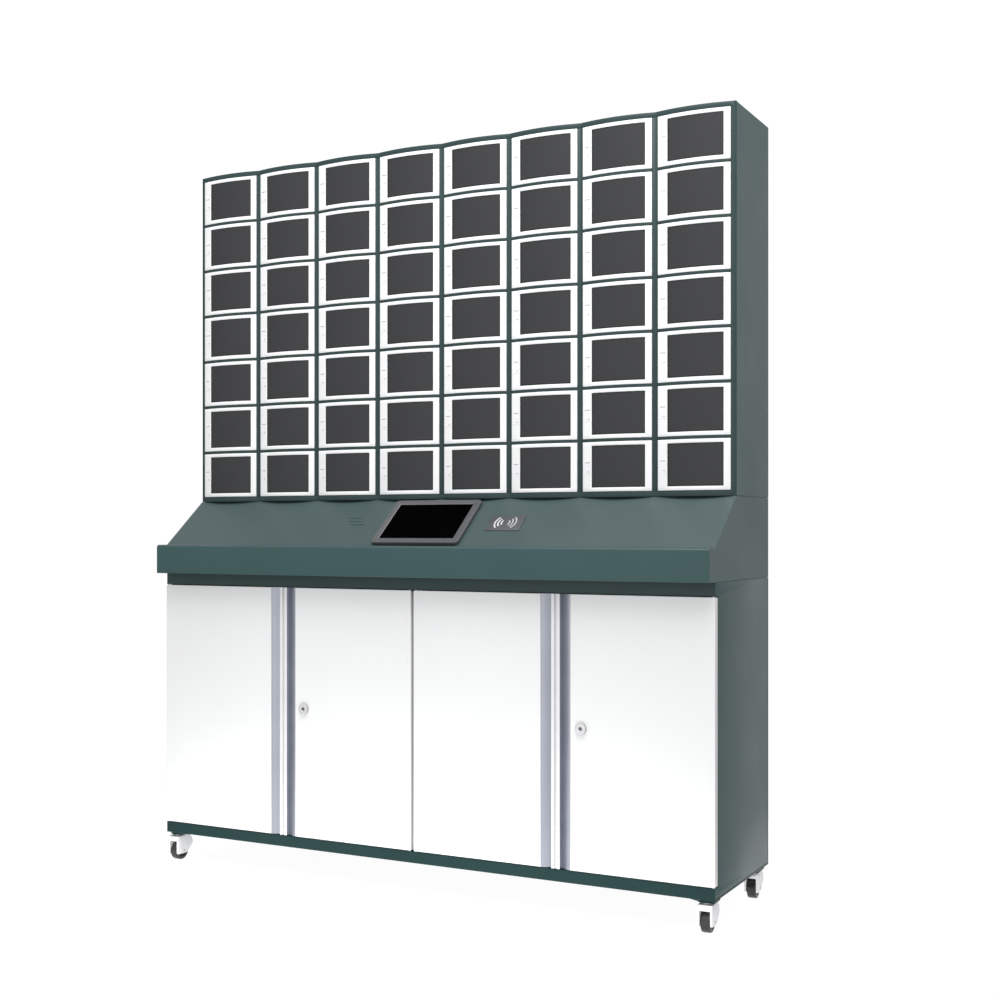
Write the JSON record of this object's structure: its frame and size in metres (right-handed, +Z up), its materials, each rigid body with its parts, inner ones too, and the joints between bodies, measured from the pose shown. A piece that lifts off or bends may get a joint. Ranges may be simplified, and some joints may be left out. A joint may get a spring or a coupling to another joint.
{
  "type": "phone charging kiosk",
  "caption": "Free-standing cabinet on casters: a grid of bowed locker doors above a sloped console with touch screen and card reader, over a closed storage base.",
  "frame": {"origin": "on the floor, below the middle of the kiosk's box", "axes": "+Z up, +X to the right of someone facing the doors, +Y from the front to the back"},
  "size_m": [1.6, 0.449, 1.934],
  "materials": {
    "frame_paint": "satin",
    "body_paint": "satin",
    "cell_door": "gloss",
    "base_door": "white laminate, satin",
    "liner": "matte",
    "profile": "satin anodised",
    "zinc": "zinc plated",
    "lock": "bright",
    "screen_case": "matte",
    "screen_glass": "glossy",
    "inlet": "matte",
    "caster_fork": "zinc plated",
    "caster_wheel": "matte"
  },
  "bodies": {
    "cabinet": {"upper_shell": "frame_paint", "upper_back": "body_paint", "charging_panel": "liner", "cell_shelf_1": "frame_paint", "cell_shelf_2": "frame_paint", "cell_shelf_3": "frame_paint", "cell_shelf_4": "frame_paint", "cell_shelf_5": "frame_paint", "cell_shelf_6": "frame_paint", "cell_divider_1": "frame_paint", "cell_divider_2": "frame_paint", "cell_divider_3": "frame_paint", "cell_divider_4": "frame_paint", "cell_divider_5": "frame_paint", "cell_divider_6": "frame_paint", "cell_divider_7": "frame_paint", "console_shell": "body_paint", "screen_housing": "screen_case", "screen_glass": "screen_glass", "card_reader": "screen_case", "power_supply": "zinc", "base_side_left": "body_paint", "base_side_right": "body_paint", "base_floor": "frame_paint", "base_top": "frame_paint", "base_back": "body_paint", "base_divider": "frame_paint", "mains_inlet": "inlet"},
    "bank_1": {"door_bank_1": "cell_door"},
    "bank_2": {"door_bank_2": "cell_door"},
    "bank_3": {"door_bank_3": "cell_door"},
    "bank_4": {"door_bank_4": "cell_door"},
    "bank_5": {"door_bank_5": "cell_door"},
    "bank_6": {"door_bank_6": "cell_door"},
    "bank_7": {"door_bank_7": "cell_door"},
    "cell_1": {"cell_door_1": "cell_door"},
    "cell_2": {"cell_door_2": "cell_door"},
    "cell_3": {"cell_door_3": "cell_door"},
    "cell_4": {"cell_door_4": "cell_door"},
    "cell_5": {"cell_door_5": "cell_door"},
    "cell_6": {"cell_door_6": "cell_door"},
    "cell_7": {"cell_door_7": "cell_door"},
    "storage_door_1": {"base_door_1": "base_door", "door_handle_1": "profile"},
    "storage_door_2": {"base_door_2": "base_door", "door_handle_2": "profile"},
    "storage_door_3": {"base_door_3": "base_door", "door_handle_3": "profile"},
    "storage_door_4": {"base_door_4": "base_door", "door_handle_4": "profile"},
    "lock_2": {"cam_lock_2": "lock"},
    "lock_4": {"cam_lock_4": "lock"},
    "swivel_front_left": {"caster_fork_front_left": "caster_fork"},
    "roller_front_left": {"caster_wheel_front_left": "caster_wheel"},
    "swivel_front_right": {"caster_fork_front_right": "caster_fork"},
    "roller_front_right": {"caster_wheel_front_right": "caster_wheel"},
    "swivel_rear_left": {"caster_fork_rear_left": "caster_fork"},
    "roller_rear_left": {"caster_wheel_rear_left": "caster_wheel"},
    "swivel_rear_right": {"caster_fork_rear_right": "caster_fork"},
    "roller_rear_right": {"caster_wheel_rear_right": "caster_wheel"}
  },
  "joints": [
    {"name": "bank_1_hinge", "type": "hinge", "parent": "cabinet", "child": "bank_1", "pos_m": [-0.6064, -0.03409, 1.0157], "axis": [0, 0, 1], "range_deg": [0, 100]},
    {"name": "bank_2_hinge", "type": "hinge", "parent": "cabinet", "child": "bank_2", "pos_m": [-0.4077, -0.03409, 1.0157], "axis": [0, 0, 1], "range_deg": [0, 100]},
    {"name": "bank_3_hinge", "type": "hinge", "parent": "cabinet", "child": "bank_3", "pos_m": [-0.209, -0.03409, 1.0157], "axis": [0, 0, 1], "range_deg": [0, 100]},
    {"name": "bank_4_hinge", "type": "hinge", "parent": "cabinet", "child": "bank_4", "pos_m": [-0.0103, -0.03409, 1.0157], "axis": [0, 0, 1], "range_deg": [0, 100]},
    {"name": "bank_5_hinge", "type": "hinge", "parent": "cabinet", "child": "bank_5", "pos_m": [0.1884, -0.03409, 1.0157], "axis": [0, 0, 1], "range_deg": [0, 100]},
    {"name": "bank_6_hinge", "type": "hinge", "parent": "cabinet", "child": "bank_6", "pos_m": [0.3871, -0.03409, 1.0157], "axis": [0, 0, 1], "range_deg": [0, 100]},
    {"name": "bank_7_hinge", "type": "hinge", "parent": "cabinet", "child": "bank_7", "pos_m": [0.5858, -0.03409, 1.0157], "axis": [0, 0, 1], "range_deg": [0, 100]},
    {"name": "cell_1_hinge", "type": "hinge", "parent": "cabinet", "child": "cell_1", "pos_m": [0.7845, -0.03409, 1.7981], "axis": [0, 0, 1], "range_deg": [0, 100]},
    {"name": "cell_2_hinge", "type": "hinge", "parent": "cabinet", "child": "cell_2", "pos_m": [0.7845, -0.03409, 1.6677], "axis": [0, 0, 1], "range_deg": [0, 100]},
    {"name": "cell_3_hinge", "type": "hinge", "parent": "cabinet", "child": "cell_3", "pos_m": [0.7845, -0.03409, 1.5373], "axis": [0, 0, 1], "range_deg": [0, 100]},
    {"name": "cell_4_hinge", "type": "hinge", "parent": "cabinet", "child": "cell_4", "pos_m": [0.7845, -0.03409, 1.4069], "axis": [0, 0, 1], "range_deg": [0, 100]},
    {"name": "cell_5_hinge", "type": "hinge", "parent": "cabinet", "child": "cell_5", "pos_m": [0.7845, -0.03409, 1.2765], "axis": [0, 0, 1], "range_deg": [0, 100]},
    {"name": "cell_6_hinge", "type": "hinge", "parent": "cabinet", "child": "cell_6", "pos_m": [0.7845, -0.03409, 1.1461], "axis": [0, 0, 1], "range_deg": [0, 100]},
    {"name": "cell_7_hinge", "type": "hinge", "parent": "cabinet", "child": "cell_7", "pos_m": [0.7845, -0.03409, 1.0157], "axis": [0, 0, 1], "range_deg": [0, 100]},
    {"name": "storage_door_1_hinge", "type": "hinge", "parent": "cabinet", "child": "storage_door_1", "pos_m": [-0.795, -0.179, 0.11], "axis": [0, 0, -1], "range_deg": [0, 110]},
    {"name": "storage_door_2_hinge", "type": "hinge", "parent": "cabinet", "child": "storage_door_2", "pos_m": [-0.0089, -0.179, 0.11], "axis": [0, 0, 1], "range_deg": [0, 90]},
    {"name": "storage_door_3_hinge", "type": "hinge", "parent": "cabinet", "child": "storage_door_3", "pos_m": [0.0089, -0.179, 0.11], "axis": [0, 0, -1], "range_deg": [0, 90]},
    {"name": "storage_door_4_hinge", "type": "hinge", "parent": "cabinet", "child": "storage_door_4", "pos_m": [0.795, -0.179, 0.11], "axis": [0, 0, 1], "range_deg": [0, 110]},
    {"name": "lock_2_turn", "type": "hinge", "parent": "storage_door_2", "child": "lock_2", "pos_m": [-0.33225, -0.184, 0.4495], "axis": [0, 1, 0], "range_deg": [0, 90]},
    {"name": "lock_4_turn", "type": "hinge", "parent": "storage_door_4", "child": "lock_4", "pos_m": [0.46775, -0.184, 0.4495], "axis": [0, 1, 0], "range_deg": [0, 90]},
    {"name": "swivel_front_left_turn", "type": "hinge", "parent": "cabinet", "child": "swivel_front_left", "pos_m": [-0.778, -0.147, 0.07], "axis": [0, 0, 1], "continuous": true},
    {"name": "swivel_front_right_turn", "type": "hinge", "parent": "cabinet", "child": "swivel_front_right", "pos_m": [0.772, -0.147, 0.07], "axis": [0, 0, 1], "continuous": true},
    {"name": "swivel_rear_left_turn", "type": "hinge", "parent": "cabinet", "child": "swivel_rear_left", "pos_m": [-0.772, 0.1945, 0.07], "axis": [0, 0, 1], "continuous": true},
    {"name": "swivel_rear_right_turn", "type": "hinge", "parent": "cabinet", "child": "swivel_rear_right", "pos_m": [0.772, 0.1945, 0.07], "axis": [0, 0, 1], "continuous": true},
    {"name": "roller_front_left_spin", "type": "hinge", "parent": "swivel_front_left", "child": "roller_front_left", "pos_m": [-0.77828, -0.15499, 0.025], "axis": [-0.9994, 0.0349, 0], "continuous": true},
    {"name": "roller_front_right_spin", "type": "hinge", "parent": "swivel_front_right", "child": "roller_front_right", "pos_m": [0.77242, -0.15499, 0.025], "axis": [-0.9986, -0.0523, 0], "continuous": true},
    {"name": "roller_rear_left_spin", "type": "hinge", "parent": "swivel_rear_left", "child": "roller_rear_left", "pos_m": [-0.77256, 0.18652, 0.025], "axis": [-0.9976, 0.0698, 0], "continuous": true},
    {"name": "roller_rear_right_spin", "type": "hinge", "parent": "swivel_rear_right", "child": "roller_rear_right", "pos_m": [0.77256, 0.18652, 0.025], "axis": [-0.9976, -0.0698, 0], "continuous": true}
  ]
}
